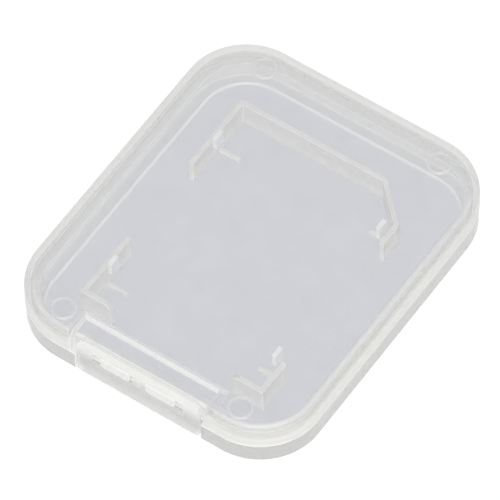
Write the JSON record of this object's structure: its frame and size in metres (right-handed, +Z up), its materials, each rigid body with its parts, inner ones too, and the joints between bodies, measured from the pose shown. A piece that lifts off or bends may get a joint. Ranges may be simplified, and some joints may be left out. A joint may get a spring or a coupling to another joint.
{
  "type": "memory card case",
  "caption": "Shallow round-cornered clamshell case with a walled card nest in its tray, hold-down pegs under its lid, and a short folding hinge strap.",
  "frame": {"origin": "middle of the underside of the closed case, which is where it rests", "axes": "+X across the case along the hinge, +Y from the hinge side to the catch side along the case's length, +Z up out of the lid"},
  "size_m": [0.04, 0.048, 0.0068],
  "materials": {
    "lid_plastic": "clear-to-milky polypropylene, moulded smooth, satin gloss",
    "tray_plastic": "clear-to-milky polypropylene, moulded smooth, satin gloss",
    "nest_plastic": "clear-to-milky polypropylene, thin standing walls",
    "strap_plastic": "milky polypropylene, a little whiter where it bends",
    "film_plastic": "thin polypropylene film, whitened by folding",
    "peg_plastic": "small solid polypropylene pieces that look white on edge"
  },
  "bodies": {
    "base": {"base_tray": "tray_plastic", "base_lip": "tray_plastic", "base_hinge_wall": "tray_plastic", "base_fold_film": "film_plastic", "base_catch": "tray_plastic", "nest_wall_far": "nest_plastic", "nest_corner_left": "nest_plastic", "nest_corner_right": "nest_plastic", "card_rib_far_left": "nest_plastic", "card_rib_far_right": "nest_plastic", "card_rib_front_left": "nest_plastic", "card_rib_front_right": "nest_plastic"},
    "strap": {"hinge_strap": "strap_plastic", "lower_fold_film": "film_plastic", "upper_fold_film": "film_plastic"},
    "lid": {"lid_shell": "lid_plastic", "lid_hinge_pocket": "lid_plastic", "lid_hinge_wall": "lid_plastic", "lid_fold_film": "film_plastic", "lid_catch": "lid_plastic", "lid_key_left": "peg_plastic", "lid_key_right": "peg_plastic", "hold_peg_far_left": "peg_plastic", "hold_peg_far_right": "peg_plastic", "hold_peg_front_left": "peg_plastic", "hold_peg_front_right": "peg_plastic", "lid_pad_far_left": "lid_plastic", "lid_pad_far_right": "lid_plastic", "lid_pad_front_left": "lid_plastic", "lid_pad_front_right": "lid_plastic"}
  },
  "joints": [
    {"name": "base_fold", "type": "hinge", "parent": "base", "child": "strap", "pos_m": [0, -0.02385, 0.00025], "axis": [1, 0, 0], "range_deg": [0, 90]},
    {"name": "lid_fold", "type": "hinge", "parent": "strap", "child": "lid", "pos_m": [0, -0.02305, 0.00575], "axis": [1, 0, 0], "range_deg": [0, 90]}
  ],
  "couplings": [
    {"joint": "lid_fold", "follows": "base_fold", "ratio": 1}
  ]
}
